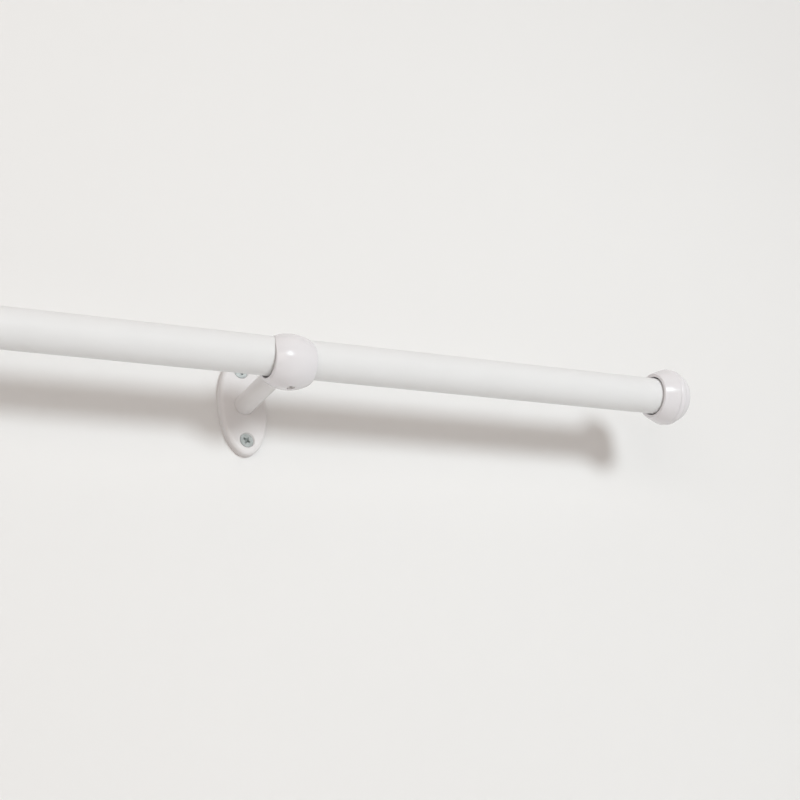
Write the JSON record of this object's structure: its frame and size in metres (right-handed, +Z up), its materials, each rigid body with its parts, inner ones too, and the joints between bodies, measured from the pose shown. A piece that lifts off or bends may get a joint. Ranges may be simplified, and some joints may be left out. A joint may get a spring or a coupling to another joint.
{
  "type": "curtain rod",
  "caption": "White round curtain rod on ball-ring wall brackets with oval plates, closed by stepped push-on end caps.",
  "frame": {"origin": "on the wall's surface, midway between the brackets and level with their arms", "axes": "+X along the rod to its right-hand end, +Y into the wall, +Z up"},
  "size_m": [1.2312, 0.1304, 0.0686],
  "materials": {
    "tube_paint": "satin white powder coat",
    "plate_paint": "satin white powder coat",
    "arm_paint": "satin white powder coat",
    "ring_plastic": "gloss white",
    "cap_plastic": "gloss white",
    "zinc": "bright zinc plate"
  },
  "bodies": {
    "rod_on_brackets": {"rod_tube": "tube_paint", "wall_plate_left": "plate_paint", "arm_left": "arm_paint", "holder_ring_left": "ring_plastic", "arm_screw_left": "zinc", "ring_screw_left": "zinc", "lock_screw_left": "zinc", "wall_screw_left_upper": "zinc", "wall_screw_left_lower": "zinc", "wall_plate_right": "plate_paint", "arm_right": "arm_paint", "holder_ring_right": "ring_plastic", "arm_screw_right": "zinc", "ring_screw_right": "zinc", "lock_screw_right": "zinc", "wall_screw_right_upper": "zinc", "wall_screw_right_lower": "zinc"},
    "cap_left": {"end_cap_left": "cap_plastic"},
    "cap_right": {"end_cap_right": "cap_plastic"}
  },
  "joints": [
    {"name": "cap_left_pull", "type": "slide", "parent": "rod_on_brackets", "child": "cap_left", "axis": [-1, 0, 0], "range_m": [0, 0.02]},
    {"name": "cap_right_pull", "type": "slide", "parent": "rod_on_brackets", "child": "cap_right", "axis": [1, 0, 0], "range_m": [0, 0.02]}
  ]
}
